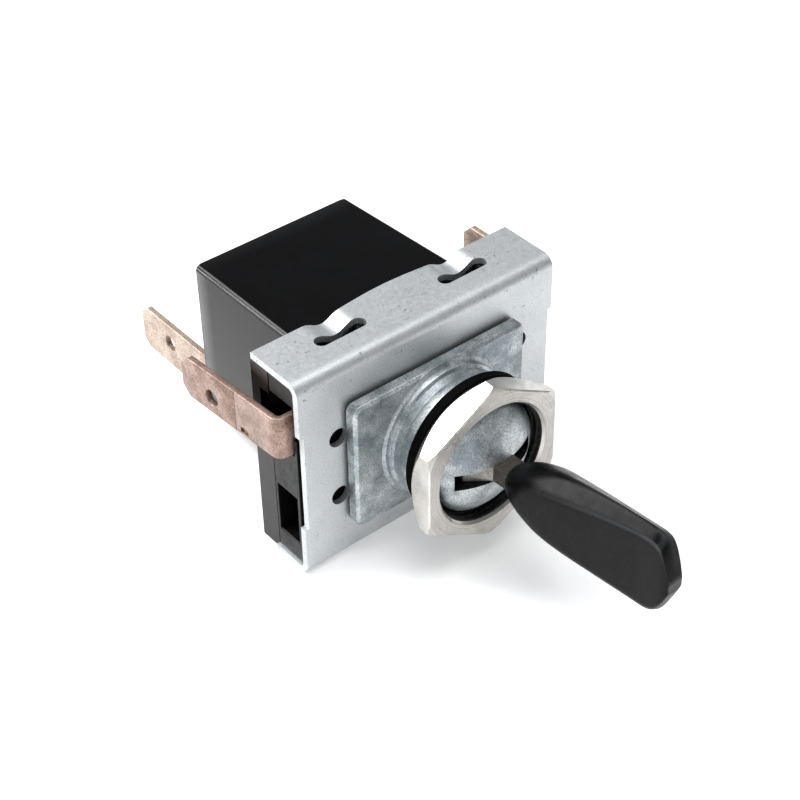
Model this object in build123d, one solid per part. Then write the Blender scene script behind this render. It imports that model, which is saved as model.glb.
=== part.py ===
from build123d import *
import math
import os

# Panel toggle switch, three positions, in millimetres.
# Origin: bush axis at the front face of the bracket. +X right, +Y to the rear, +Z up.
# The lever points forward, towards -Y.

# bracket: a sheet channel with a front plate and two flanges turned to the rear
FRAME_W = 35.4
FRAME_H = 26.5
FLANGE_D = 7.95
SHEET = 0.8
BEND_R = 1.5
END_STEP = 0.5
END_STEP_H = 12.8
PLATE_HOLE_R = 1.18
PLATE_HOLE_X = 12.75
PLATE_HOLE_Z = 4.07
SLOT_X = 8.45
SLOT_Y = 4.65
SLOT_LEN = 6.6
SLOT_W = 1.6
CRIMP_W = 3.2
CRIMP_DROP = 0.6

# bush: square die-cast plate, two collars, threaded neck and a slotted dome
PLATE_W = 23.9
PLATE_H = 16.6
PLATE_T = 1.9
COLLAR1_R = 8.15
COLLAR1_Y = -2.8
GROOVE_R = 7.75
GROOVE_Y = -4.1
COLLAR2_R = 8.0
COLLAR2_Y = -5.4
NECK_R = 7.15
NECK_Y = -8.2
DOME_R = 9.6
DOME_INNER_R = 8.5
DOME_C = -2.05
DOME_EDGE_R = 6.7
BORE_R = 5.7
SLOT_HALF = 5.25
SLOT_H = 2.0
RELIEF_HALF = 6.35
SPIGOT_R = 6.9
SPIGOT_END = 1.5
RING_R = 8.6

# nut and washer
NUT_FLATS = 17.9
NUT_FRONT = -10.3
NUT_BACK = -6.95
NUT_BORE_R = 7.2
NUT_BEVEL = 0.5
NUT_SEAT_R = 8.55
WASHER_R = 8.25
WASHER_BACK = -5.4
WASHER_FRONT = -6.9

# lever: measured along its own axis from the pivot
PIVOT_Y = -2.5
PIN_R = 0.8
PIN_LEN = 13.6
REST_TILT = 2.5
HUB_R = 2.5
HUB_OUT = 3.0
TAIL = 7.0
STEM_X = 1.5
STEM_Z = 0.95
SHOULDER_X = 3.9
SHOULDER_L = 6.8
STEM_TOP_L = 8.9
STEM_END_L = 24.0
PLUNGER_BORE_R = 1.6
PLUNGER_BORE_L = 1.5
PLUNGER_R = 1.55
PLUNGER_BACK_L = 4.0
ROD_R = 1.2
TIP_L = 9.5
SPRING_WIRE = 0.2
SPRING_R = 1.25
SPRING_TURNS = 4

# knob sections: distance from the pivot, half width across X, half height along Z
KNOB_SECTIONS = [
    (10.2, 1.7, 1.8),
    (11.2, 2.3, 2.5),
    (13.0, 2.75, 3.1),
    (16.0, 2.7, 3.5),
    (21.0, 2.2, 4.0),
    (31.6, 1.3, 5.0),
    (34.2, 1.1, 3.6),
]

# mouldings
FIBRE_T = 0.45
FRONT_MOULD_Y = SHEET + FIBRE_T
LAYER_Y = 5.6
MOULD_X = 17.3
MOULD_Z = 12.4
HOUSE_FRONT = (11.42, 10.75)
HOUSE_REAR = (10.86, 10.05)
HOUSE_END = 28.7
CAVITY_X = 9.5
CAVITY_Z = 8.9
CAVITY_END = 17.4
TUNNEL_X = 6.4
TUNNEL_Z = 3.2

# terminals: quarter-inch push-on blades
BLADE_W = 6.35
BLADE_T = 0.8
BLADE_HOLE_R = 1.0
SIDE_Z = 6.55
FOOT_Y = 3.1
LEFT_X = -20.5
RIGHT_X = 18.6
SIDE_TIP = 15.6
REAR_X = -9.9
REAR_Z = -5.25
REAR_TIP = 42.9
PAD_Y = 13.4
LEG_X = 9.0
LEG_TOP = 8.4

# contacts
STUD_R = 1.5
STUD_H = 0.55
STUD_X = 6.0
CARRIAGE_X = 4.5
CARRIAGE_Z = 8.0
CARRIAGE_Y0 = 6.2
CARRIAGE_Y1 = 11.3
POCKET_X = 1.5
MOVING_T = 0.6
MOVING_Y = 12.15
CONTACT_SPRING_R = 1.3

GAP = 0.05


def block(x0, x1, y0, y1, z0, z1):
    """Box given by its low and high sides."""
    centre = Pos((x0 + x1) / 2, (y0 + y1) / 2, (z0 + z1) / 2)
    return centre * Box(x1 - x0, y1 - y0, z1 - z0)


def rod(radius, y0, y1, x=0, z=0):
    """Round bar along Y."""
    return Pos(x, (y0 + y1) / 2, z) * Rot(90, 0, 0) * Cylinder(radius, y1 - y0)


def slot_cut(x, y, z):
    """Round-ended slot along X, cut down through a flange."""
    sketch = Pos(x, y, z - SHEET) * SlotOverall(SLOT_LEN, SLOT_W)
    return extrude(sketch, 2 * SHEET)


def lever_place(shape):
    """Turn a shape from the straight lever pose to the rest pose about the pivot."""
    return shape.rotate(Axis((0, PIVOT_Y, 0), (0, 0, 1)), REST_TILT)


def frame_bracket():
    outer = block(-FRAME_W / 2, FRAME_W / 2, 0, FLANGE_D, -FRAME_H / 2, FRAME_H / 2)
    bends = outer.edges().filter_by(Axis.X).group_by(Axis.Y)[0]
    outer = fillet(bends, BEND_R)
    half_in = FRAME_H / 2 - SHEET
    inner = block(-FRAME_W, FRAME_W, SHEET, FLANGE_D + 1, -half_in, half_in)
    inner_bends = inner.edges().filter_by(Axis.X).group_by(Axis.Y)[0]
    inner = fillet(inner_bends, BEND_R - SHEET)
    shape = outer - inner
    shape -= rod(SPIGOT_R + GAP, -1, SHEET + 1)
    for side in (-1, 1):
        end = side * FRAME_W / 2
        step = (min(end, end - side * END_STEP), max(end, end - side * END_STEP))
        shape -= block(step[0], step[1], -1, SHEET + 0.01, -END_STEP_H / 2, END_STEP_H / 2)
        for level in (-1, 1):
            shape -= rod(PLATE_HOLE_R, -1, SHEET + 1, side * PLATE_HOLE_X, level * PLATE_HOLE_Z)
            shape -= slot_cut(side * SLOT_X, SLOT_Y, level * (FRAME_H / 2))
            shape = crimp_flange(shape, side * SLOT_X, level)
    return shape


def crimp_box(x, level, grow=0):
    """Tongue behind a flange slot, pressed towards the moulding."""
    top = FRAME_H / 2 - CRIMP_DROP
    zs = sorted((level * (top - SHEET - grow), level * (top + grow)))
    half = CRIMP_W / 2 + grow
    return block(x - half, x + half, SLOT_Y + SLOT_W / 2, FLANGE_D, zs[0], zs[1])


def crimp_flange(shape, x, level):
    zs = sorted((level * (FRAME_H / 2 - 1.5 * SHEET), level * (FRAME_H / 2 + 1)))
    half = CRIMP_W / 2
    shape -= block(x - half, x + half, SLOT_Y, FLANGE_D + 1, zs[0], zs[1])
    return shape + crimp_box(x, level)


def bush_casting():
    plate = block(-PLATE_W / 2, PLATE_W / 2, -PLATE_T, 0, -PLATE_H / 2, PLATE_H / 2)
    plate = fillet(plate.edges().filter_by(Axis.Y), 0.8)
    plate = chamfer(plate.edges().group_by(Axis.Y)[0], 0.4)
    shape = plate + rod(COLLAR1_R, COLLAR1_Y, 0) + rod(GROOVE_R, GROOVE_Y, 0)
    shape += rod(COLLAR2_R, COLLAR2_Y, GROOVE_Y)
    shape += rod(NECK_R, NECK_Y, 0) + rod(SPIGOT_R, 0, SPIGOT_END)
    dome = Pos(0, DOME_C, 0) * Sphere(DOME_R)
    shape += dome & rod(DOME_EDGE_R, DOME_C - DOME_R - 1, NECK_Y + 1)
    dome_inside = Pos(0, DOME_C, 0) * Sphere(DOME_INNER_R)
    shape -= rod(BORE_R, -7.0, SPIGOT_END + 1)
    shape -= dome_inside & rod(BORE_R, DOME_C - DOME_R, -6.9)
    shape -= block(-SLOT_HALF, SLOT_HALF, -13, -6, -SLOT_H / 2, SLOT_H / 2)
    relief = block(-RELIEF_HALF, RELIEF_HALF, -8.9, -4, -1.1, 1.1)
    shape -= relief & (Pos(0, DOME_C, 0) * Sphere(DOME_INNER_R))
    pin_hole = Pos(0, PIVOT_Y, 0) * Cylinder(PIN_R, PIN_LEN)
    return shape - pin_hole


def bush_ring():
    return rod(RING_R, SHEET, SPIGOT_END) - rod(SPIGOT_R, 0, SPIGOT_END + 1)


def pivot_pin():
    return Pos(0, PIVOT_Y, 0) * Cylinder(PIN_R, PIN_LEN)


def seal_washer():
    return rod(WASHER_R, WASHER_FRONT, WASHER_BACK) - rod(NECK_R, WASHER_FRONT - 1, WASHER_BACK + 1)


def hex_nut():
    corner_r = NUT_FLATS / math.sqrt(3)
    hexagon = Plane.XZ.offset(-NUT_BACK) * RegularPolygon(corner_r, 6, rotation=30)
    prism = extrude(hexagon, NUT_BACK - NUT_FRONT)
    prism = chamfer(prism.edges().group_by(Axis.Y)[0], NUT_BEVEL)
    depth = NUT_BACK - NUT_FRONT
    seat_cone = Cone(NUT_SEAT_R, NUT_SEAT_R + depth, depth, align=LOW)
    shape = prism & (Pos(0, NUT_BACK, 0) * Rot(90, 0, 0) * seat_cone)
    return shape - rod(NUT_BORE_R, NUT_FRONT - 1, NUT_BACK + 1)


def lever_stem():
    fan = Polygon(
        (-SHOULDER_X, PIVOT_Y - SHOULDER_L),
        (-STEM_X, PIVOT_Y - STEM_TOP_L),
        (-STEM_X, PIVOT_Y - STEM_END_L),
        (STEM_X, PIVOT_Y - STEM_END_L),
        (STEM_X, PIVOT_Y - STEM_TOP_L),
        (SHOULDER_X, PIVOT_Y - SHOULDER_L),
        (HUB_R, PIVOT_Y),
        (-HUB_R, PIVOT_Y),
        align=None,
    )
    shape = extrude(fan, STEM_Z, both=True)
    shape += rod(HUB_R, PIVOT_Y - HUB_OUT, PIVOT_Y + TAIL)
    shape -= rod(PLUNGER_BORE_R, PIVOT_Y + PLUNGER_BORE_L, PIVOT_Y + TAIL + 1)
    shape -= Pos(0, PIVOT_Y, 0) * Cylinder(PIN_R + GAP, 4 * HUB_R)
    return lever_place(shape)


def knob_section(level, half_x, half_z):
    sketch = RectangleRounded(2 * half_x, 2 * half_z, 0.72 * half_x)
    return Plane.XZ.offset(level - PIVOT_Y) * sketch


def lever_knob():
    sections = [knob_section(*row) for row in KNOB_SECTIONS]
    shape = loft(sections, ruled=True)
    tang = block(-STEM_X, STEM_X, PIVOT_Y - STEM_END_L, 0, -STEM_Z, STEM_Z)
    return lever_place(shape - tang)


def plunger():
    shape = rod(PLUNGER_R, PIVOT_Y + PLUNGER_BACK_L, PIVOT_Y + TAIL - 0.2)
    shape += rod(ROD_R, PIVOT_Y + TAIL - 0.3, PIVOT_Y + TIP_L)
    shape += Pos(0, PIVOT_Y + TIP_L, 0) * Sphere(ROD_R)
    return lever_place(shape)


def coil(radius, wire, length, turns, start_y, x=0, z=0):
    """Coil spring along +Y from start_y."""
    pitch = (length - 2 * wire) / turns
    path = Helix(pitch, length - 2 * wire, radius)
    profile = Plane(path @ 0, z_dir=path % 0) * Circle(wire)
    spring = sweep(profile, path, is_frenet=True)
    return Pos(x, start_y + wire, z) * Rot(-90, 0, 0) * spring


def plunger_spring():
    length = PLUNGER_BACK_L - PLUNGER_BORE_L - 0.1
    start = PIVOT_Y + PLUNGER_BORE_L + 0.05
    return lever_place(coil(SPRING_R, SPRING_WIRE, length, SPRING_TURNS, start))


def fibre_insulator():
    sheet = block(-MOULD_X, MOULD_X, SHEET, FRONT_MOULD_Y, -MOULD_Z + 0.8, MOULD_Z - 0.8)
    return sheet - rod(RING_R + 0.2, 0, 3)


def terminal_channel(side, level):
    """Space for a blade's foot, from the moulding's end to the inside."""
    xs = sorted((side * 20, side * (LEG_X - BLADE_T / 2 - GAP)))
    half = BLADE_W / 2 + GAP
    foot = BLADE_T / 2 + GAP
    z = level * SIDE_Z
    return block(xs[0], xs[1], FOOT_Y - foot, LAYER_Y + 1, z - half, z + half)


def front_moulding():
    shape = block(-MOULD_X, MOULD_X, FRONT_MOULD_Y, LAYER_Y, -MOULD_Z, MOULD_Z)
    rim = [edge for edge in shape.edges().filter_by(Axis.X) if edge.center().Y < LAYER_Y - 1]
    shape = chamfer(rim, 0.7)
    shape -= rod(RING_R + 0.2, 0, 2.2)
    shape -= block(-TUNNEL_X, TUNNEL_X, 0, LAYER_Y + 1, -TUNNEL_Z, TUNNEL_Z)
    for side in (-1, 1):
        shape -= terminal_channel(side, 1)
        xs = sorted((side * 20, side * 13.2))
        shape -= block(xs[0], xs[1], 1.9, 5.2, -9.9, -3.3)
        for level in (-1, 1):
            shape -= crimp_box(side * SLOT_X, level, 0.1)
    return shape


def housing_shell():
    front = Plane.XZ.offset(-LAYER_Y) * Rectangle(2 * HOUSE_FRONT[0], 2 * HOUSE_FRONT[1])
    rear = Plane.XZ.offset(-HOUSE_END) * Rectangle(2 * HOUSE_REAR[0], 2 * HOUSE_REAR[1])
    shell = loft([front, rear])
    shell = fillet(shell.edges().group_by(Axis.Y)[-1], 0.6)
    return shell + block(-MOULD_X, MOULD_X, LAYER_Y, FLANGE_D, -MOULD_Z, MOULD_Z)


def rear_housing():
    shape = housing_shell()
    shape -= block(-CAVITY_X, CAVITY_X, LAYER_Y - 1, CAVITY_END, -CAVITY_Z, CAVITY_Z)
    for side in (-1, 1):
        end = sorted((side * 20, side * 15.6))
        shape -= block(end[0], end[1], LAYER_Y - 1, 7.2, 4.2, 8.9)
        for level in (-1, 1):
            shape -= crimp_box(side * SLOT_X, level, 0.1)
    half = BLADE_W / 2
    thick = BLADE_T / 2
    return shape - block(REAR_X - thick, REAR_X + thick, PAD_Y, 40, REAR_Z - half, REAR_Z + half)


def side_terminal(side, blade_x):
    """Blade, foot through the moulding, inner leg and contact pad, all from one strip."""
    half = BLADE_W / 2
    thick = BLADE_T / 2
    zs = (SIDE_Z - half, SIDE_Z + half)
    blade = block(blade_x - thick, blade_x + thick, FOOT_Y - thick, SIDE_TIP, *zs)
    tips = [edge for edge in blade.edges().filter_by(Axis.X) if edge.center().Y > SIDE_TIP - 0.1]
    blade = chamfer(tips, 1.3, 1.3)
    hole = Pos(blade_x, SIDE_TIP - 3.6, SIDE_Z) * Rot(0, 90, 0) * Cylinder(BLADE_HOLE_R, 4)
    blade -= hole
    foot_xs = sorted((blade_x - side * thick, side * (LEG_X - thick)))
    foot = block(foot_xs[0], foot_xs[1], FOOT_Y - thick, FOOT_Y + thick, *zs)
    leg_xs = sorted((side * (LEG_X - thick), side * (LEG_X + thick)))
    leg_zs = (SIDE_Z - half, LEG_TOP)
    leg = block(leg_xs[0], leg_xs[1], FOOT_Y, PAD_Y + BLADE_T, *leg_zs)
    pad_xs = sorted((side * (LEG_X + thick), side * (STUD_X - 2)))
    pad = block(pad_xs[0], pad_xs[1], PAD_Y, PAD_Y + BLADE_T, *leg_zs)
    return blade + foot + leg + pad


def rear_terminal():
    half = BLADE_W / 2
    thick = BLADE_T / 2
    zs = (REAR_Z - half, REAR_Z + half)
    blade = block(REAR_X - thick, REAR_X + thick, PAD_Y, REAR_TIP, *zs)
    tips = [edge for edge in blade.edges().filter_by(Axis.X) if edge.center().Y > REAR_TIP - 0.1]
    blade = chamfer(tips, 1.3, 1.3)
    blade -= Pos(REAR_X, REAR_TIP - 5.4, REAR_Z) * Rot(0, 90, 0) * Cylinder(BLADE_HOLE_R, 4)
    return blade + block(REAR_X, 2.2, PAD_Y, PAD_Y + BLADE_T, *zs)


def contact_base():
    low = PAD_Y + BLADE_T
    return block(-CAVITY_X + GAP, CAVITY_X - GAP, low, low + 2.4, -CAVITY_Z + GAP, CAVITY_Z - GAP)


def contact_stud(x, z):
    return rod(STUD_R, PAD_Y - STUD_H, PAD_Y, x, z)


def contact_carriage():
    shape = block(-CARRIAGE_X, CARRIAGE_X, CARRIAGE_Y0, CARRIAGE_Y1, -CARRIAGE_Z, CARRIAGE_Z)
    shape = fillet(shape.edges().filter_by(Axis.Z), 0.4)
    shape -= block(-POCKET_X, POCKET_X, 0, 8.45, -3, 3)
    for z in (-5.0, 5.0):
        shape -= rod(CONTACT_SPRING_R + 0.4, CARRIAGE_Y1 - 2.6, CARRIAGE_Y1 + 1, 0, z)
    return shift_to_rest(shape)


def moving_contact():
    return shift_to_rest(block(-2.5, 2.5, MOVING_Y, MOVING_Y + MOVING_T, -7.4, 7.4))


def contact_spring(z):
    start = CARRIAGE_Y1 - 2.6
    return shift_to_rest(coil(CONTACT_SPRING_R, 0.2, MOVING_Y - start, 4, start, 0, z))


def shift_to_rest(shape):
    """Move the carriage parts from mid travel to where the tilted lever puts them."""
    travel = TIP_L * math.sin(math.radians(REST_TILT))
    return Pos(-travel, 0, 0) * shape


LOW = (Align.CENTER, Align.CENTER, Align.MIN)

PARTS = {
    "frame_bracket": frame_bracket(),
    "bush_casting": bush_casting(),
    "bush_ring": bush_ring(),
    "pivot_pin": pivot_pin(),
    "seal_washer": seal_washer(),
    "hex_nut": hex_nut(),
    "lever_stem": lever_stem(),
    "lever_knob": lever_knob(),
    "plunger": plunger(),
    "plunger_spring": plunger_spring(),
    "fibre_insulator": fibre_insulator(),
    "front_moulding": front_moulding(),
    "rear_housing": rear_housing(),
    "terminal_left": side_terminal(-1, LEFT_X),
    "terminal_right": side_terminal(1, RIGHT_X),
    "terminal_rear": rear_terminal(),
    "contact_base": contact_base(),
    "contact_stud_left": contact_stud(-STUD_X, 5.0),
    "contact_stud_right": contact_stud(STUD_X, 5.0),
    "contact_stud_centre": contact_stud(0, -5.0),
    "contact_carriage": contact_carriage(),
    "moving_contact": moving_contact(),
    "contact_spring_upper": contact_spring(5.0),
    "contact_spring_lower": contact_spring(-5.0),
}

os.makedirs("parts", exist_ok=True)
for node, part in PARTS.items():
    export_step(part, f"parts/{node}.step")
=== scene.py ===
import bpy
import bmesh
import math
from mathutils import Matrix, Vector


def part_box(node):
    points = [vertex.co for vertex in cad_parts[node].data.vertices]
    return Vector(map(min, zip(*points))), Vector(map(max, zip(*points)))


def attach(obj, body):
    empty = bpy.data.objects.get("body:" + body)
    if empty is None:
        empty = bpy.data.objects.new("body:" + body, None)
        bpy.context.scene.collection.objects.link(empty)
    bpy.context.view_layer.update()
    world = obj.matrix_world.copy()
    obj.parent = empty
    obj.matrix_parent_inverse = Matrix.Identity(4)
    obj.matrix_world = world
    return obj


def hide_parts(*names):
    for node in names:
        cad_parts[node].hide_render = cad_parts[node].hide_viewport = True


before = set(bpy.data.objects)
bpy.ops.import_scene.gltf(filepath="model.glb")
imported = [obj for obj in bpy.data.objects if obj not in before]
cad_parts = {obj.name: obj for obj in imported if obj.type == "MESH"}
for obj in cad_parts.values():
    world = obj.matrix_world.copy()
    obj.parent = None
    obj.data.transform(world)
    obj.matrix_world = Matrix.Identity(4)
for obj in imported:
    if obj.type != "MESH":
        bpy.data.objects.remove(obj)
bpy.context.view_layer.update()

MM = 0.001
RIGHT_ANGLE = math.pi / 2
REST_TILT = math.radians(2.5)
PIVOT_Y = -2.5


def span(node):
    """Lowest and highest corner of a CAD node, in millimetres."""
    low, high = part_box(node)
    return [v / MM for v in low], [v / MM for v in high]


# ---------------------------------------------------------------- mesh tools

def make_object(name, verts, faces):
    """Mesh object from points in millimetres, with its faces turned outwards."""
    mesh = bpy.data.meshes.new(name)
    mesh.from_pydata([Vector(v) * MM for v in verts], [], faces)
    work = bmesh.new()
    work.from_mesh(mesh)
    bmesh.ops.remove_doubles(work, verts=work.verts, dist=1e-8)
    bmesh.ops.recalc_face_normals(work, faces=work.faces)
    work.to_mesh(mesh)
    work.free()
    obj = bpy.data.objects.new(name, mesh)
    bpy.context.scene.collection.objects.link(obj)
    return obj


def loft(name, rings):
    """Closed solid through rings that all have the same number of points."""
    count = len(rings[0])
    verts = [point for ring in rings for point in ring]
    faces = []
    for level in range(len(rings) - 1):
        for i in range(count):
            j = (i + 1) % count
            low = level * count
            faces.append((low + i, low + j, low + count + j, low + count + i))
    faces.append(tuple(range(count)))
    last = (len(rings) - 1) * count
    faces.append(tuple(last + i for i in range(count)))
    return make_object(name, verts, faces)


def revolve(name, profile, centre=(0, 0), segments=144):
    """Solid of revolution about an axis along Y; the profile is a closed loop of (radius, y)."""
    verts = []
    for step in range(segments):
        angle = 2 * math.pi * step / segments
        for radius, y in profile:
            x = centre[0] + radius * math.cos(angle)
            z = centre[1] + radius * math.sin(angle)
            verts.append((x, y, z))
    count = len(profile)
    faces = []
    for step in range(segments):
        here = step * count
        there = ((step + 1) % segments) * count
        for i in range(count):
            j = (i + 1) % count
            faces.append((here + i, here + j, there + j, there + i))
    return make_object(name, verts, faces)


def block(name, x0, x1, y0, y1, z0, z1):
    ring_low = [(x0, y0, z0), (x1, y0, z0), (x1, y1, z0), (x0, y1, z0)]
    ring_high = [(x, y, z1) for x, y, _ in ring_low]
    return loft(name, [ring_low, ring_high])


def rounded_outline(half_x, half_z, radius, steps=8):
    """Rounded rectangle in the XZ plane."""
    points = []
    for quarter in range(4):
        corner_x = (half_x - radius) * (1 if quarter in (0, 3) else -1)
        corner_z = (half_z - radius) * (1 if quarter in (0, 1) else -1)
        for step in range(steps + 1):
            angle = (quarter + step / steps) * RIGHT_ANGLE
            points.append((corner_x + radius * math.cos(angle), corner_z + radius * math.sin(angle)))
    return points


def bake(obj):
    """Replaces the object's mesh with its evaluated one and drops the modifiers."""
    depsgraph = bpy.context.evaluated_depsgraph_get()
    mesh = bpy.data.meshes.new_from_object(obj.evaluated_get(depsgraph))
    obj.modifiers.clear()
    obj.data = mesh


def combine(obj, tool, operation):
    """Exact boolean of obj with tool; the tool is used up."""
    modifier = obj.modifiers.new("combine", "BOOLEAN")
    modifier.operation = operation
    modifier.solver = "EXACT"
    modifier.object = tool
    bake(obj)
    bpy.data.objects.remove(tool)


def cut(obj, *tools):
    for tool in tools:
        combine(obj, tool, "DIFFERENCE")


def soften(obj, width, segments=3, angle=32):
    """Rounded edges, kept as a live bevel."""
    bevel = obj.modifiers.new("soft edges", "BEVEL")
    bevel.width = width * MM
    bevel.segments = segments
    bevel.limit_method = "ANGLE"
    bevel.angle_limit = math.radians(angle)
    bevel.harden_normals = True
    smooth(obj, angle)


def smooth(obj, angle=32):
    obj.data.polygons.foreach_set("use_smooth", [True] * len(obj.data.polygons))
    obj.data.set_sharp_from_angle(angle=math.radians(angle))


def install(obj, material, body, slot, *nodes):
    """Gives a finished piece its material, its body and the CAD nodes it stands for."""
    obj.data.materials.clear()
    obj.data.materials.append(material)
    if nodes:
        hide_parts(*nodes)
    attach(obj, body)


# ------------------------------------------------------------ material tools

class Surface:
    """A Principled material with procedural detail in object coordinates (metres)."""

    def __init__(self, name, metallic, ior=1.5):
        self.material = bpy.data.materials.new(name)
        self.material.use_nodes = True
        self.tree = self.material.node_tree
        self.shader = self.tree.nodes["Principled BSDF"]
        self.shader.inputs["Metallic"].default_value = metallic
        self.shader.inputs["IOR"].default_value = ior
        self.coords = self.tree.nodes.new("ShaderNodeTexCoord").outputs["Object"]
        self.height = None

    def link(self, source, target):
        self.tree.links.new(source, target)

    def stretched(self, factors):
        node = self.tree.nodes.new("ShaderNodeMapping")
        node.inputs["Scale"].default_value = factors
        self.link(self.coords, node.inputs["Vector"])
        return node.outputs["Vector"]

    def noise(self, size_mm, detail=4, roughness=0.6, vector=None, distortion=0.0):
        node = self.tree.nodes.new("ShaderNodeTexNoise")
        node.inputs["Scale"].default_value = 1 / (size_mm * MM)
        node.inputs["Detail"].default_value = detail
        node.inputs["Roughness"].default_value = roughness
        node.inputs["Distortion"].default_value = distortion
        self.link(vector or self.coords, node.inputs["Vector"])
        return node.outputs["Fac"]

    def limits(self, value, low, high, out_low=0.0, out_high=1.0):
        node = self.tree.nodes.new("ShaderNodeMapRange")
        node.inputs["From Min"].default_value = low
        node.inputs["From Max"].default_value = high
        node.inputs["To Min"].default_value = out_low
        node.inputs["To Max"].default_value = out_high
        self.link(value, node.inputs["Value"])
        return node.outputs["Result"]

    def combine(self, operation, a, b):
        node = self.tree.nodes.new("ShaderNodeMath")
        node.operation = operation
        for socket, value in zip(node.inputs, (a, b)):
            if isinstance(value, (int, float)):
                socket.default_value = value
            else:
                self.link(value, socket)
        return node.outputs["Value"]

    def blend(self, factor, a, b):
        node = self.tree.nodes.new("ShaderNodeMix")
        node.data_type = "RGBA"
        self.link(factor, node.inputs["Factor"])
        for socket, value in ((node.inputs[6], a), (node.inputs[7], b)):
            if isinstance(value, tuple):
                socket.default_value = (*value, 1)
            else:
                self.link(value, socket)
        return node.outputs[2]

    def color(self, source):
        self.link(source, self.shader.inputs["Base Color"])

    def roughness(self, source):
        self.link(source, self.shader.inputs["Roughness"])

    def bump(self, height, depth_mm, strength=1.0):
        """Adds a layer of relief of about depth_mm."""
        node = self.tree.nodes.new("ShaderNodeBump")
        node.inputs["Strength"].default_value = strength
        node.inputs["Distance"].default_value = depth_mm * MM
        self.link(height, node.inputs["Height"])
        if self.height is not None:
            self.link(self.height, node.inputs["Normal"])
        self.height = node.outputs["Normal"]
        self.link(self.height, self.shader.inputs["Normal"])


def radius_from_axis(surface):
    """Distance from the bush axis, in metres."""
    split = surface.tree.nodes.new("ShaderNodeSeparateXYZ")
    surface.link(surface.coords, split.inputs["Vector"])
    squares = [surface.combine("MULTIPLY", split.outputs[i], split.outputs[i]) for i in (0, 2)]
    return surface.combine("SQRT", surface.combine("ADD", *squares), 0.0)


def zinc_plate():
    """Bright zinc plating: cloudy, finely grained, with scattered dark pits and faint scratches."""
    s = Surface("zinc_plate", metallic=0.72)
    cloud = s.noise(5.0, detail=3)
    grain = s.noise(0.22, detail=5, roughness=0.7)
    pits = s.limits(s.noise(0.55, detail=6, roughness=0.75), 0.60, 0.65)
    patches = s.limits(s.noise(3.2, detail=2), 0.44, 0.58)
    pits = s.combine("MULTIPLY", pits, patches)
    base = s.blend(s.limits(cloud, 0.3, 0.7), (0.56, 0.58, 0.59), (0.63, 0.65, 0.66))
    base = s.blend(s.limits(grain, 0.40, 0.75, 0.0, 0.45), base, (0.27, 0.29, 0.30))
    base = s.blend(pits, base, (0.10, 0.105, 0.11))
    s.color(base)
    s.roughness(s.limits(s.noise(0.6, detail=5), 0.3, 0.7, 0.40, 0.50))
    s.bump(grain, 0.012, 0.6)
    scratches = s.noise(0.5, detail=6, roughness=0.7, vector=s.stretched((0.08, 1.0, 1.0)))
    s.bump(scratches, 0.01, 0.35)
    return s.material


def zinc_casting():
    """As-cast zinc alloy: darker, rough grained, peppered with small black pits."""
    s = Surface("zinc_casting", metallic=0.78)
    cloud = s.noise(3.0, detail=3)
    grain = s.noise(0.16, detail=6, roughness=0.75)
    pits = s.limits(s.noise(0.30, detail=5, roughness=0.8), 0.60, 0.66)
    base = s.blend(s.limits(cloud, 0.38, 0.62), (0.31, 0.35, 0.365), (0.66, 0.69, 0.70))
    base = s.blend(s.limits(grain, 0.44, 0.62, 0.0, 0.75), base, (0.14, 0.165, 0.175))
    base = s.blend(pits, base, (0.05, 0.055, 0.06))
    s.color(base)
    s.roughness(s.limits(s.noise(0.9, detail=4), 0.3, 0.7, 0.34, 0.55))
    s.bump(grain, 0.03, 0.7)
    s.bump(cloud, 0.08, 0.3)
    return s.material


def nickel():
    """Nickel plate over a turned face: fine rings about the axis, warm grey, small dings."""
    s = Surface("nickel_nut", metallic=0.96)
    rings = s.tree.nodes.new("ShaderNodeTexNoise")
    rings.noise_dimensions = "1D"
    rings.inputs["Scale"].default_value = 9000
    rings.inputs["Detail"].default_value = 6
    rings.inputs["Roughness"].default_value = 0.75
    s.link(radius_from_axis(s), rings.inputs["W"])
    facing = s.tree.nodes.new("ShaderNodeSeparateXYZ")
    s.link(s.tree.nodes["Texture Coordinate"].outputs["Normal"], facing.inputs["Vector"])
    turned = s.limits(facing.outputs["Y"], -0.9, -0.6, 1.0, 0.0)
    marks = s.combine("MULTIPLY", s.limits(rings.outputs["Fac"], 0.40, 0.68), turned)
    cloud = s.noise(2.6, detail=4)
    base = s.blend(s.limits(cloud, 0.3, 0.7), (0.55, 0.53, 0.50), (0.68, 0.66, 0.63))
    base = s.blend(s.limits(marks, 0.0, 1.0, 0.0, 0.75), base, (0.28, 0.265, 0.24))
    pits = s.limits(s.noise(0.35, detail=5, roughness=0.8), 0.66, 0.72)
    s.color(s.blend(pits, base, (0.16, 0.15, 0.14)))
    s.roughness(s.limits(s.noise(0.8, detail=5), 0.3, 0.7, 0.24, 0.40))
    s.bump(marks, 0.03, 0.8)
    s.bump(s.noise(0.3, detail=5), 0.01, 0.3)
    return s.material


def tarnished_copper(name, dark, light):
    """Copper-alloy strip gone dull pink and brown in patches, with fine rolling lines."""
    s = Surface(name, metallic=0.55)
    cloud = s.noise(2.4, detail=6, roughness=0.65)
    fine = s.noise(0.22, detail=6, roughness=0.75)
    base = s.blend(s.limits(cloud, 0.38, 0.62), dark, light)
    base = s.blend(s.limits(fine, 0.48, 0.64, 0.0, 0.85), base, (0.13, 0.085, 0.07))
    s.color(base)
    s.roughness(s.limits(cloud, 0.3, 0.7, 0.5, 0.36))
    s.bump(fine, 0.015, 0.6)
    s.bump(s.noise(0.4, detail=4, vector=s.stretched((1.0, 0.06, 1.0))), 0.008, 0.4)
    return s.material


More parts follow.
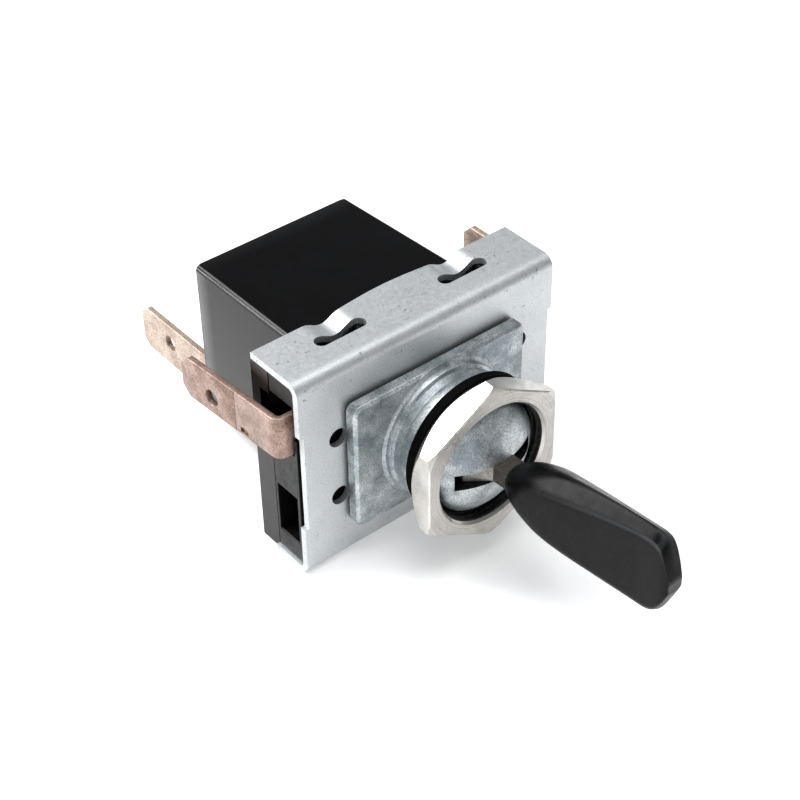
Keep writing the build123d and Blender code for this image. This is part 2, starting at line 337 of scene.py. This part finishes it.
def gloss_black():
    """Glossy black moulding with a faint ripple and a few dust specks."""
    s = Surface("gloss_black_moulding", metallic=0.0, ior=1.46)
    dust = s.limits(s.noise(0.5, detail=4, roughness=0.6), 0.735, 0.76)
    tone = s.blend(s.limits(s.noise(6.0), 0.3, 0.7), (0.002, 0.002, 0.0022), (0.0035, 0.0035, 0.004))
    s.color(s.blend(dust, tone, (0.05, 0.05, 0.05)))
    s.shader.inputs["Specular IOR Level"].default_value = 0.35
    s.roughness(s.limits(s.noise(2.0, detail=5), 0.3, 0.7, 0.16, 0.26))
    s.bump(s.noise(1.6, detail=2), 0.01, 0.25)
    return s.material


def satin_black():
    """Satin black phenolic moulding with a fine grain and grey rubbed patches."""
    s = Surface("satin_black_moulding", metallic=0.0)
    rubbed = s.limits(s.noise(1.8, detail=6, roughness=0.7), 0.5, 0.8)
    s.color(s.blend(rubbed, (0.004, 0.004, 0.0045), (0.014, 0.0145, 0.015)))
    s.shader.inputs["Specular IOR Level"].default_value = 0.35
    s.roughness(s.limits(s.noise(0.7, detail=5), 0.3, 0.7, 0.32, 0.5))
    s.bump(s.noise(0.25, detail=5), 0.01, 0.4)
    return s.material


def knob_black():
    """Satin black lever cover, lightly scuffed, with grey dust in the grain and a painted highlight on its
    ridges.
    """
    s = Surface("knob_black", metallic=0.0)
    scuffs = s.noise(0.5, detail=7, roughness=0.8, vector=s.stretched((1.0, 0.35, 1.0)))
    cloud = s.noise(4.0, detail=4)
    base = s.blend(s.limits(cloud, 0.3, 0.7), (0.003, 0.003, 0.0032), (0.006, 0.006, 0.0065))
    base = s.blend(s.limits(scuffs, 0.60, 0.76), base, (0.028, 0.029, 0.030))
    # painted highlight: the convex ridges, found by pointiness, are blended to grey
    painted_ridge_highlight = s.tree.nodes.new("ShaderNodeNewGeometry").outputs["Pointiness"]
    s.color(s.blend(s.limits(painted_ridge_highlight, 0.508, 0.535, 0.0, 0.8), base, (0.085, 0.087, 0.09)))
    s.shader.inputs["Specular IOR Level"].default_value = 0.15
    s.roughness(s.limits(s.noise(1.2, detail=6), 0.3, 0.7, 0.24, 0.40))
    s.bump(s.noise(0.3, detail=5, roughness=0.7), 0.012, 0.5)
    s.bump(cloud, 0.05, 0.3)
    return s.material


def grime_and_shade():
    """Oily dirt over dark metal, also standing for painted shade, in threads, slots and joints."""
    s = Surface("grime_and_shade", metallic=0.3)
    film = s.noise(0.5, detail=5)
    s.color(s.blend(s.limits(film, 0.4, 0.7), (0.006, 0.006, 0.006), (0.05, 0.05, 0.048)))
    s.roughness(s.limits(film, 0.3, 0.7, 0.4, 0.65))
    s.bump(s.noise(0.2, detail=4), 0.02, 0.6)
    return s.material


def rubber_black():
    s = Surface("rubber_washer", metallic=0.0)
    s.color(s.blend(s.noise(0.8), (0.0012, 0.0012, 0.0012), (0.004, 0.004, 0.004)))
    s.shader.inputs["Specular IOR Level"].default_value = 0.06
    s.roughness(s.limits(s.noise(0.4, detail=5), 0.3, 0.7, 0.6, 0.85))
    s.bump(s.noise(0.2, detail=4), 0.015, 0.5)
    return s.material


def stem_metal():
    """Dull plated lever metal, pitted black, stained brown towards the cover."""
    s = Surface("lever_metal", metallic=0.75)
    cloud = s.noise(1.4, detail=5)
    base = s.blend(s.limits(cloud, 0.35, 0.65), (0.26, 0.25, 0.23), (0.50, 0.49, 0.47))
    along = s.tree.nodes.new("ShaderNodeSeparateXYZ")
    s.link(s.coords, along.inputs["Vector"])
    stain = s.limits(along.outputs["Y"], -0.0118, -0.0108, 0.8, 0.0)
    base = s.blend(stain, base, (0.10, 0.085, 0.07))
    pits = s.limits(s.noise(0.3, detail=5, roughness=0.8), 0.57, 0.63)
    s.color(s.blend(pits, base, (0.03, 0.025, 0.02)))
    s.roughness(s.limits(s.noise(0.6, detail=5), 0.3, 0.7, 0.34, 0.55))
    s.bump(s.noise(0.2, detail=5), 0.02, 0.6)
    return s.material


def plain_metal(name, dark, light, rough):
    """Small machined piece: cloudy tone, fine grain."""
    s = Surface(name, metallic=0.95)
    s.color(s.blend(s.limits(s.noise(0.9, detail=5), 0.3, 0.7), dark, light))
    s.roughness(s.limits(s.noise(0.4, detail=4), 0.3, 0.7, rough - 0.07, rough + 0.08))
    s.bump(s.noise(0.15, detail=4), 0.008, 0.4)
    return s.material


def board(name, dark, light, rough):
    """Fibre or phenolic sheet: mottled, with short fibres in the relief."""
    s = Surface(name, metallic=0.0)
    fibres = s.noise(0.35, detail=6, roughness=0.75, vector=s.stretched((0.3, 1.0, 1.0)))
    s.color(s.blend(s.limits(fibres, 0.35, 0.65), dark, light))
    s.roughness(s.limits(s.noise(0.8, detail=4), 0.3, 0.7, rough - 0.08, rough + 0.08))
    s.bump(fibres, 0.02, 0.5)
    return s.material


# -------------------------------------------------------------------- bracket

SHEET = 0.8
BEND_R = 1.5
FLANGE_DEPTH = 7.95
PLATE_HOLE_R = 1.18
PLATE_HOLE_X = 12.75
PLATE_HOLE_Z = 4.07
BUSH_HOLE_R = 6.95
BOW_HALF = 6.0
BOW_DEPTH = 0.4
DENT_X = 8.5
DENT_DEPTH = 0.85
DENT_HALF = 2.5
LOWER_FLANGE = 5.7
SLOT_X = 8.45
SLOT_Y = 4.65
SLOT_LEN = 6.6
SLOT_W = 1.7


def channel_profile(depth, height, inset):
    """U profile in (y, z): along the top flange, down the front, along the shorter lower flange."""
    top = height / 2 - inset
    radius = BEND_R - inset
    points = [(depth - i * (depth - BEND_R) / 18, top) for i in range(18)]
    for i in range(9):
        angle = RIGHT_ANGLE * i / 8
        points.append((BEND_R - radius * math.sin(angle), top - radius + radius * math.cos(angle)))
    points += [(inset, z) for z in (8.0, 4.0, 0.0)]
    lower = []
    for y, z in reversed(points[:-1]):
        if y > BEND_R:
            y = BEND_R + (y - BEND_R) * (LOWER_FLANGE - BEND_R) / (depth - BEND_R)
        lower.append((y, -z))
    return points + lower


def dent(x, y, z, height):
    """The strip behind each upper slot is pressed towards the moulding in a rounded V."""
    if z < height / 2 - SHEET - 0.01:
        return 0.0
    across = abs(abs(x) - DENT_X)
    if across > DENT_HALF:
        return 0.0
    shape = 0.5 + 0.5 * math.cos(math.pi * across / DENT_HALF)
    start = SLOT_Y - 0.2
    ramp = min(1.0, max(0.0, (y - start) / (0.5 * SLOT_W)))
    return DENT_DEPTH * shape * ramp


def bow(x, y, z):
    """The upper flange's back edge is bowed out a little between the two dents."""
    if z < 0 or abs(x) > BOW_HALF or y < SLOT_Y:
        return 0.0
    share = (y - SLOT_Y) / (FLANGE_DEPTH - SLOT_Y)
    return BOW_DEPTH * share * math.cos(RIGHT_ANGLE * x / BOW_HALF)


def slot_tool(x, z):
    """Round-ended slot through the upper flange."""
    outline = []
    for i in range(24):
        angle = 2 * math.pi * i / 24
        reach = (SLOT_LEN - SLOT_W) / 2 * (1 if math.cos(angle) >= 0 else -1)
        radius = SLOT_W / 2
        outline.append((x + reach + radius * math.cos(angle), SLOT_Y + radius * math.sin(angle)))
    return loft("slot_tool", [[(px, py, z + dz) for px, py in outline] for dz in (-2.5, 2.5)])


def post(name, radius, y0, y1, x, z, segments=40):
    """Cylinder along Y."""
    ring = []
    for i in range(segments):
        angle = 2 * math.pi * i / segments
        ring.append((x + radius * math.cos(angle), z + radius * math.sin(angle)))
    return loft(name, [[(px, y, pz) for px, pz in ring] for y in (y0, y1)])


def build_bracket():
    """Folded sheet with dented upper flange, stepped ends and pierced front."""
    low, high = span("frame_bracket")
    height = high[2] - low[2]
    outer = channel_profile(high[1], height, 0.0)
    inner = channel_profile(high[1], height, SHEET)
    loop = outer + inner[::-1]
    stations = 90
    rings = []
    for i in range(stations + 1):
        x = low[0] + (high[0] - low[0]) * i / stations
        ring = []
        for y, z in loop:
            drop = dent(x, y, z, height)
            ring.append((x, y + bow(x, y, z), z - drop))
        rings.append(ring)
    bracket = loft("bracket", rings)
    end_step = 0.5
    step_half = 6.4
    for side in (-1, 1):
        edge = side * high[0]
        xs = sorted((edge + side, edge - side * end_step))
        cut(bracket, block("step", xs[0], xs[1], -1, 1.2, -step_half, step_half))
        for level in (-1, 1):
            cut(bracket, post("hole", PLATE_HOLE_R, -1, 2, side * PLATE_HOLE_X, level * PLATE_HOLE_Z))
        cut(bracket, slot_tool(side * SLOT_X, height / 2))
    cut(bracket, post("bush_hole", BUSH_HOLE_R, -1, 2, 0, 0, 96))
    soften(bracket, 0.09, 2, 40)
    install(bracket, zinc_plate(), "switch_body", "zinc_plated_steel", "frame_bracket")


# ----------------------------------------------------------------------- bush

THREAD_PITCH = 0.9


def arc_points(radius, centre_y, r_from, r_to, steps):
    """Points (r, y) on a sphere's front side from one radius to another."""
    points = []
    for i in range(steps + 1):
        r = r_from + (r_to - r_from) * i / steps
        points.append((r, centre_y - math.sqrt(radius * radius - r * r)))
    return points


def build_bush():
    """Cast plate, and the turret with its collars, thread and slotted dome."""
    low, high = span("bush_casting")
    plate_t = 1.9
    outline = rounded_outline(high[0], 8.3, 1.0)
    tight = rounded_outline(high[0] - 0.3, 8.0, 0.8)
    under = rounded_outline(high[0] - 0.45, 7.85, 0.8)
    rings = [[(x, y, z) for x, z in points] for points, y in
             ((under, 0.0), (under, -0.12), (outline, -0.4), (outline, -plate_t + 0.35), (tight, -plate_t))]
    plate = loft("bush_plate", rings)
    casting = zinc_casting()
    soften(plate, 0.2, 3, 25)
    install(plate, casting, "switch_body", "zinc_casting", "bush_casting")
    # painted shade: the undercut rim where the plate meets the bracket is dark as a shadow line
    paint_grime_and_shade(plate, lambda r, y, n: -0.41 < y < -0.01)

    dome_r = 9.6
    dome_c = low[1] + dome_r
    dome = arc_points(dome_r, dome_c, 0.0, 6.5, 24)
    neck = []
    for turn in range(3):
        y = -8.1 + turn * THREAD_PITCH
        neck += [(7.12, y), (7.12, y + 0.12), (6.85, y + 0.45), (7.12, y + 0.78)]
    profile = dome + [(6.7, dome[-1][1] + 0.25), (6.7, -8.2), (6.95, -8.2)] + neck
    profile += [(7.12, -5.4), (7.85, -5.4), (8.0, -5.25), (8.0, -4.3), (7.88, -4.1)]
    profile += [(7.72, -4.0), (7.72, -2.95), (7.95, -2.8), (8.08, -2.75), (8.15, -2.6), (8.15, -2.15)]
    profile += [(8.35, -1.95), (8.6, -1.88), (8.6, -1.5), (6.9, -1.0), (6.9, high[1]), (5.7, high[1])]
    profile += [(5.7, -7.6)]
    profile += arc_points(8.5, dome_c, 5.7, 0.0, 12)
    turret = revolve("bush_turret", profile)
    cut(turret, block("lever_slot", -5.25, 5.25, -13, -6, -1.02, 1.02))
    cut(turret, block("lever_relief", -6.35, 6.35, -9.0, -4, -1.1, 1.1))
    install(turret, casting, "switch_body", "zinc_casting", "bush_casting")
    # painted shade with some grime: the neck thread and dome edge inside the nut, and the lever slot's side
    # walls, get the dark finish
    paint_grime_and_shade(turret, lambda r, y, n: (r > 6.6 and y < -5.6) or (r < 6.6 and max(abs(n.x), abs(n.z)) > 0.97))
    soften(turret, 0.06, 2, 38)


def paint_grime_and_shade(obj, chosen):
    """Grimy, shaded threads, slot walls and joints: faces chosen by radius, y and normal get the dark
    finish, which is dirt and painted shade together.
    """
    obj.data.materials.append(GRIME_AND_SHADE)
    for face in obj.data.polygons:
        x, y, z = (v / MM for v in face.center)
        if chosen(math.hypot(x, z), y, face.normal):
            face.material_index = 1


def build_nut():
    """Hexagon with a coned seat, chamfered front corners and a threaded bore."""
    low, high = span("hex_nut")
    flats = high[0]
    corner = flats / math.cos(math.pi / 6)
    bevel = 0.14
    front = low[1]
    back = high[1]

    def hexagon(radius, y):
        ring = []
        for side in range(6):
            start = math.radians(60 * side + 30)
            end = start + math.radians(60)
            for i in range(12):
                t = i / 12
                x = radius * (math.cos(start) * (1 - t) + math.cos(end) * t)
                z = radius * (math.sin(start) * (1 - t) + math.sin(end) * t)
                ring.append((x, y, z))
        return ring

    nut = loft("hex_nut_turned", [hexagon(corner, back), hexagon(corner, front + bevel),
                                  hexagon(corner - bevel * 1.1, front)])
    seat = 8.55
    depth = back - front
    lead = corner - 0.75
    cone = revolve("seat_cone", [(0, back), (seat, back), (seat + depth - 1.2, front + 1.2),
                                 (lead + 1.1, front + 0.55), (lead - 1.0, front - 0.5), (0, front - 0.5)])
    combine(nut, cone, "INTERSECT")
    bore = [(0, front - 1), (8.3, front - 1), (7.35, front + 0.35)]
    for turn in range(3):
        y = front + 0.35 + turn * THREAD_PITCH
        bore += [(7.22, y + 0.1), (7.22, y + 0.25), (7.5, y + 0.5), (7.5, y + 0.55), (7.22, y + 0.8)]
    bore += [(7.22, back - 0.3), (7.8, back + 0.6), (0, back + 0.6)]
    cut(nut, revolve("thread_tool", bore))
    install(nut, nickel(), "nut", "nickel_plated_brass", "hex_nut")
    # grime with painted shade on the nut's threaded bore
    paint_grime_and_shade(nut, lambda r, y, n: r < 7.62 and y > front + 0.36)
    soften(nut, 0.12, 3, 24)


def build_washer():
    low, high = span("seal_washer")
    r_out = high[0] + 0.3
    back, front = high[1], low[1]
    edge = 0.25
    profile = [(7.2, front), (r_out - edge, front), (r_out, front + edge), (r_out, back - edge),
               (r_out - edge, back), (7.2, back)]
    washer = revolve("seal_washer_soft", profile, centre=(0.25, 0.15))
    soften(washer, 0.1, 3, 25)
    install(washer, rubber_black(), "switch_body", "black_rubber", "seal_washer")


# ----------------------------------------------------------------------- knob

# distance from the pivot, half thickness, top, bottom, share of the half height that the
# flat side takes, squareness of the section
KNOB_KEYS = [
    (10.45, 1.20, 1.45, -1.45, 0.62, 2.0),
    (10.75, 1.85, 2.10, -2.15, 0.62, 2.1),
    (11.5, 2.38, 2.80, -3.00, 0.62, 2.3),
    (12.8, 2.66, 3.60, -3.80, 0.64, 3.0),
    (15.2, 2.62, 4.35, -4.50, 0.67, 6.0),
    (19.4, 2.18, 5.15, -5.15, 0.70, 18.0),
    (24.0, 1.66, 5.70, -5.25, 0.76, 28.0),
    (28.4, 1.26, 6.00, -5.15, 0.82, 34.0),
    (30.0, 1.22, 6.00, -5.00, 0.84, 34.0),
    (30.7, 1.22, 5.90, -4.80, 0.84, 34.0),
    (31.4, 1.22, 5.50, -4.30, 0.84, 30.0),
    (32.0, 1.20, 4.30, -3.30, 0.84, 26.0),
    (32.6, 1.12, 2.40, -1.80, 0.84, 20.0),
    (33.0, 0.95, 1.10, -0.60, 0.84, 12.0),
]


def knob_values(level):
    """Section values at a distance from the pivot, by a smooth curve through the keys."""
    keys = KNOB_KEYS
    i = 0
    while i < len(keys) - 2 and level > keys[i + 1][0]:
        i += 1
    before, a, b, after = keys[max(i - 1, 0)], keys[i], keys[i + 1], keys[min(i + 2, len(keys) - 1)]
    width = b[0] - a[0]
    t = (level - a[0]) / width
    values = []
    for k in range(1, 6):
        slope_a = (b[k] - before[k]) / (b[0] - before[0])
        slope_b = (after[k] - a[k]) / (after[0] - a[0])
        h00 = 2 * t ** 3 - 3 * t ** 2 + 1
        h10 = t ** 3 - 2 * t ** 2 + t
        h11 = t ** 3 - t ** 2
        values.append(h00 * a[k] + h10 * width * slope_a + (1 - h00) * b[k] + h11 * width * slope_b)
    return values


def knob_ring(level, points=144):
    """Six-sided section with rounded ridges: two flat sides and a low roof above and below."""
    half_x, top, bottom, share, power = knob_values(level)
    middle = (top + bottom) / 2
    top_z = (top - bottom) / 2
    side_z = top_z * share
    roof_angle = math.atan2(top_z - side_z, half_x)
    reach = top_z * math.cos(roof_angle)
    tilt = RIGHT_ANGLE - roof_angle
    planes = [(0.0, half_x), (math.pi, half_x)]
    planes += [(s, reach) for s in (tilt, math.pi - tilt, -tilt, tilt - math.pi)]
    ring = []
    for i in range(points):
        t = 2 * math.pi * i / points
        angle = math.atan2(top_z * math.sin(t), half_x * math.cos(t))
        total = 0.0
        for direction, distance in planes:
            total += max(0.0, math.cos(angle - direction) / distance) ** power
        radius = total ** (-1 / power)
        ring.append((radius * math.cos(angle), PIVOT_Y - level, middle + radius * math.sin(angle)))
    return ring


def tilt_to_rest(obj):
    """Turns a piece made for a straight lever to the rest pose."""
    pivot = Vector((0, PIVOT_Y * MM, 0))
    turn = Matrix.Translation(pivot) @ Matrix.Rotation(REST_TILT, 4, "Z") @ Matrix.Translation(-pivot)
    obj.data.transform(turn)


def build_knob():
    levels = []
    for a, b in zip(KNOB_KEYS, KNOB_KEYS[1:]):
        steps = max(3, round((b[0] - a[0]) / 0.4))
        levels += [a[0] + (b[0] - a[0]) * i / steps for i in range(steps)]
    levels.append(KNOB_KEYS[-1][0])
    knob = loft("lever_cover", [knob_ring(level) for level in levels])
    tilt_to_rest(knob)
    smooth(knob, 50)
    install(knob, knob_black(), "lever", "black_knob", "lever_knob")


# ------------------------------------------------------------------ terminals

BLADE_T = 0.8
BEND = 0.8


def bend_points(corner, before, after, radius, steps=10):
    """Arc that rounds the corner between two straight runs, in the XY plane."""
    into = (Vector(corner) - Vector(before)).normalized()
    out = (Vector(after) - Vector(corner)).normalized()
    start = Vector(corner) - into * radius
    centre = start + out * radius
    points = []
    for i in range(steps + 1):
        angle = RIGHT_ANGLE * i / steps
        points.append(centre - out * radius * math.cos(angle) + into * radius * math.sin(angle))
    return points


def strip(name, path, z_low, z_high, tip_chamfer):
    """Flat strip swept along a path in the XY plane; its first end has cut corners."""
    points = [Vector(p) for p in path]
    along = (points[1] - points[0]).normalized()
    points.insert(1, points[0] + along * tip_chamfer)
    rings = []
    for i, point in enumerate(points):
        if i == 0:
            direction = along
        elif i == len(points) - 1:
            direction = (points[i] - points[i - 1]).normalized()
        else:
            direction = (points[i + 1] - points[i - 1]).normalized()
        side = Vector((-direction.y, direction.x)) * BLADE_T / 2
        trim = tip_chamfer if i == 0 else 0.0
        a, b = point + side, point - side
        rings.append([(a.x, a.y, z_low + trim), (b.x, b.y, z_low + trim),
                      (b.x, b.y, z_high - trim), (a.x, a.y, z_high - trim)])
    return loft(name, rings)


def cross_post(x, y, z, radius, depth):
    """Cylinder along X, as a tool for a hole through a blade."""
    ring = []
    for i in range(36):
        angle = 2 * math.pi * i / 36
        ring.append((y + radius * math.cos(angle), z + radius * math.sin(angle)))
    return loft("blade_hole", [[(x + dx, py, pz) for py, pz in ring] for dx in (-depth, depth)])


def build_side_terminal(node, side, metal):
    """Blade, foot, inner leg and contact pad from one strip; the left blade is bent in and splayed."""
    low, high = span(node)
    tuck, splay = (1.85, 1.0) if side < 0 else (0.0, 0.0)
    blade_x = (low[0] if side < 0 else high[0]) - side * (BLADE_T / 2 + tuck)
    leg_x = side * 9.0
    foot_y = low[1] + BLADE_T / 2 - (0.7 if side < 0 else 0.0)
    pad_y = 13.8
    pad_end = side * 4.0
    tip_y = high[1] + (2.6 if side < 0 else 0.0)
    tip = (blade_x + side * splay, tip_y)
    corner = (blade_x, foot_y)
    inner = (leg_x, foot_y)
    pad_corner = (leg_x, pad_y)
    path = [tip]
    path += bend_points(corner, tip, inner, BEND)
    path += bend_points(inner, corner, pad_corner, 0.6)
    path += bend_points(pad_corner, inner, (pad_end, pad_y), 0.6)
    path.append((pad_end, pad_y))
    base_z, width = (low[2] - 0.5, 5.35) if side < 0 else (low[2], 6.2)
    terminal = strip(node + "_strip", path, base_z, base_z + width, 1.2)
    xs = sorted((side * 11.5, side * 3.0))
    cut(terminal, block("leg_trim", xs[0], xs[1], 4.4, 15, 8.4, 12))
    cut(terminal, cross_post(blade_x + side * splay * 0.7, tip_y - 5.1, base_z + 2.05, 1.0, 2))
    soften(terminal, 0.12, 3, 35)
    bake(terminal)
    for y0, y1, z0, z1, depth in ((7.0, 8.3, base_z + 0.4, base_z + 1.1, 0.18),
                                  (9.0, 9.12, base_z - 1, base_z + 8, 0.07)):
        face = blade_x + side * (BLADE_T / 2 + splay * (y0 - foot_y) / (tip_y - foot_y))
        xs = sorted((face + side * 0.5, face - side * depth))
        cut(terminal, block("pressed_mark", xs[0], xs[1], y0, y1, z0, z1))
    smooth(terminal, 35)
    install(terminal, metal, "switch_body", "tarnished_copper", node)


def build_rear_terminal():
    node = "terminal_rear"
    low, high = span(node)
    blade_x = low[0] + BLADE_T / 2
    pad_y = low[1] + BLADE_T / 2
    tip = (blade_x, high[1])
    corner = (blade_x, pad_y)
    end = (high[0], pad_y)
    path = [tip] + bend_points(corner, tip, end, 0.6) + [end]
    drop = 1.35
    terminal = strip(node + "_strip", path, low[2] - drop, high[2] - drop - 0.3, 1.2)
    middle = (low[2] + high[2]) / 2 - drop
    cut(terminal, cross_post(blade_x, high[1] - 6.0, middle + 0.2, 1.0, 2))
    soften(terminal, 0.12, 3, 35)
    install(terminal, PALE_COPPER, "switch_body", "tarnished_copper", node)


# ------------------------------------------------------------------ mouldings

def dent_room(x):
    """Recess in the mouldings under a pressed flange strip."""
    return block("dent_room", x - DENT_HALF, x + DENT_HALF, SLOT_Y - SLOT_W / 2, 9.0, 10.9, 13.0)


def build_front_moulding():
    low, high = span("front_moulding")
    moulding = block("front_moulding_body", low[0], high[0], low[1], high[1], low[2], high[2])
    tools = [post("spigot_room", 8.8, 0, 2.2, 0, 0, 96), block("tunnel", -6.4, 6.4, 0, 9, -3.2, 3.2)]
    for side in (-1, 1):
        xs = sorted((side * 20, side * 8.55))
        tools.append(block("foot_channel", xs[0], xs[1], 1.75, 9, 2.95, 9.45))
        end = sorted((side * 20, side * 13.2))
        tools.append(block("spare_pocket", end[0], end[1], 1.75, 5.25, -9.9, -3.3))
        tab = sorted((side * 20, side * 13.0))
        tools.append(block("fibre_room", tab[0], tab[1], 0, 3, 5.2, 8.6))
        tools.append(dent_room(side * DENT_X))
    cut(moulding, *tools)
    soften(moulding, 0.35, 3, 32)
    install(moulding, SATIN, "switch_body", "black_moulding", "front_moulding")


def build_fibre():
    """Red insulating sheet behind the plate, with clearance about every hole."""
    low, high = span("fibre_insulator")
    sheet = block("fibre_sheet", -16.2, 16.2, low[1], high[1], -12.0, 12.0)
    for side in (-1, 1):
        tab = sorted((side * 15.0, side * 17.15))
        combine(sheet, block("tab", tab[0], tab[1], low[1], high[1], 6.3, 8.4), "UNION")
        for level in (-1, 1):
            cut(sheet, post("clearance", 1.7, 0, 2, side * PLATE_HOLE_X, level * PLATE_HOLE_Z))
    cut(sheet, post("bush_room", 8.75, 0, 2, 0, 0, 96))
    soften(sheet, 0.05, 2, 35)
    red = board("red_fibre", (0.20, 0.02, 0.015), (0.42, 0.05, 0.04), 0.6)
    install(sheet, red, "switch_body", "red_fibre", "fibre_insulator")


def build_housing():
    low, high = span("rear_housing")
    layer = 5.6
    depth = 8.7
    front = (11.42, 10.75)
    rear = (10.86, 10.05)
    length = high[1]
    radius = 0.7
    rings = []
    for y in (layer, length - 3.0, length - 0.5, length - 0.15, length):
        share = (y - layer) / (length - layer)
        inset = {length: 0.5, length - 0.15: 0.18}.get(y, 0.0)
        half_x = front[0] + (rear[0] - front[0]) * share - inset
        half_z = front[1] + (rear[1] - front[1]) * share - inset
        rings.append([(x, y, z) for x, z in rounded_outline(half_x, half_z, radius)])
    shell = loft("housing_shell", rings)
    foot_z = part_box("frame_bracket")[0][2] / MM + 0.1
    flange = block("housing_flange", low[0], high[0], layer + 0.06, depth, foot_z, high[2])
    combine(shell, flange, "UNION")
    tools = [block("cavity", -9.5, 9.5, layer - 1, 17.4, -8.9, 8.9)]
    tools.append(block("rear_slot", -10.32, -9.48, 13, 40, -9.8, -3.4))
    for side in (-1, 1):
        end = sorted((side * 20, side * 15.6))
        tools.append(block("end_pocket", end[0], end[1], layer - 1, 7.2, 4.2, 8.9))
        tools.append(dent_room(side * DENT_X))
    cut(shell, *tools)
    soften(shell, 0.18, 3, 32)
    install(shell, gloss_black(), "switch_body", "black_housing", "rear_housing")


# -------------------------------------------------------- pieces kept from CAD

def dress(node, material):
    """A carried-over CAD node gets its finish."""
    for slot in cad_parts[node].material_slots:
        slot.material = material


def dress_cad_nodes():
    steel = plain_metal("pin_steel", (0.42, 0.42, 0.43), (0.62, 0.62, 0.63), 0.3)
    brass = plain_metal("plunger_brass", (0.55, 0.40, 0.18), (0.74, 0.58, 0.30), 0.3)
    silver = plain_metal("silver_contact", (0.70, 0.69, 0.66), (0.86, 0.85, 0.82), 0.28)
    copper = plain_metal("contact_copper", (0.56, 0.30, 0.18), (0.78, 0.46, 0.30), 0.32)
    brown = board("brown_phenolic", (0.06, 0.025, 0.012), (0.13, 0.06, 0.03), 0.45)
    dress("lever_stem", stem_metal())
    for node in ("pivot_pin", "plunger_spring", "contact_spring_upper", "contact_spring_lower", "bush_ring"):
        dress(node, steel)
    for node in ("contact_stud_left", "contact_stud_right", "contact_stud_centre"):
        dress(node, silver)
    dress("plunger", brass)
    dress("moving_contact", copper)
    dress("contact_base", brown)
    dress("contact_carriage", SATIN)


# ------------------------------------------------------- floor, light, camera

def build_floor():
    floor_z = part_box("frame_bracket")[0][2]
    mesh = bpy.data.meshes.new("floor")
    half = 3.0
    mesh.from_pydata([(-half, -half, floor_z), (half, -half, floor_z), (half, half, floor_z),
                      (-half, half, floor_z)], [], [(0, 1, 2, 3)])
    floor = bpy.data.objects.new("floor", mesh)
    bpy.context.scene.collection.objects.link(floor)
    s = Surface("pale_floor", metallic=0.0)
    s.color(s.blend(s.noise(60.0, detail=2), (0.88, 0.88, 0.885), (0.90, 0.90, 0.905)))
    s.shader.inputs["Roughness"].default_value = 0.9
    s.shader.inputs["Specular IOR Level"].default_value = 0.1
    s.shader.inputs["Emission Color"].default_value = (1.0, 1.0, 1.0, 1)
    s.shader.inputs["Emission Strength"].default_value = 0.22
    mesh.materials.append(s.material)


def area_light(name, direction, distance, size, radiance, size_y=None):
    """Square or oblong softbox that faces the object; radiance is what it looks like head on."""
    data = bpy.data.lights.new(name, "AREA")
    data.shape = "RECTANGLE"
    data.size = size
    data.size_y = size_y or size
    data.energy = radiance * math.pi * data.size * data.size_y
    light = bpy.data.objects.new(name, data)
    away = Vector(direction).normalized()
    light.location = away * distance
    light.rotation_euler = (-away).to_track_quat("-Z", "Y").to_euler()
    bpy.context.scene.collection.objects.link(light)


def build_lights():
    area_light("key_back_left", (-0.36, 0.58, 0.76), 0.62, 0.42, 7.0)
    area_light("top", (0.05, -0.1, 1.0), 0.75, 0.55, 3.4)
    area_light("front_fill", (-0.35, -0.95, 0.30), 0.9, 0.7, 1.4, 0.4)
    area_light("rim_strip", (-0.66, 0.74, 0.2), 0.6, 0.07, 13.0, 0.3)
    area_light("left_fill", (-1.0, -0.05, 0.35), 0.9, 0.5, 1.0, 0.3)
    world = bpy.data.worlds.new("studio")
    world.use_nodes = True
    world.node_tree.nodes["Background"].inputs["Color"].default_value = (0.95, 0.97, 1.0, 1)
    world.node_tree.nodes["Background"].inputs["Strength"].default_value = 0.22
    bpy.context.scene.world = world


def build_camera():
    azimuth = math.radians(38.95)
    elevation = math.radians(39.51)
    roll = math.radians(0.95)
    forward = Vector((math.cos(elevation) * math.sin(azimuth), math.cos(elevation) * math.cos(azimuth),
                      -math.sin(elevation)))
    level = Vector((math.cos(azimuth), -math.sin(azimuth), 0.0))
    upright = level.cross(forward)
    right = level * math.cos(roll) - upright * math.sin(roll)
    up = right.cross(forward)
    data = bpy.data.cameras.new("camera")
    data.sensor_width = 36.0
    data.lens = 81.2
    data.clip_start = 0.01
    camera = bpy.data.objects.new("camera", data)
    matrix = Matrix((right, up, -forward)).transposed().to_4x4()
    matrix.translation = Vector((-98.02, -115.89, 127.59)) * MM
    camera.matrix_world = matrix
    bpy.context.scene.collection.objects.link(camera)
    bpy.context.scene.camera = camera
    bpy.context.scene.view_settings.view_transform = "Standard"
    bpy.context.scene.view_settings.look = "Medium High Contrast"


COPPER = tarnished_copper("tarnished_copper", (0.27, 0.19, 0.155), (0.44, 0.325, 0.28))
PALE_COPPER = tarnished_copper("pale_copper", (0.42, 0.33, 0.27), (0.58, 0.48, 0.40))
# dark finish that is partly dirt and partly painted shade
GRIME_AND_SHADE = grime_and_shade()
SATIN = satin_black()

build_camera()
build_bracket()
build_bush()
build_nut()
build_washer()
build_knob()
build_side_terminal("terminal_left", -1, COPPER)
build_side_terminal("terminal_right", 1, PALE_COPPER)
build_rear_terminal()
build_front_moulding()
build_fibre()
build_housing()
dress_cad_nodes()
build_floor()
build_lights()
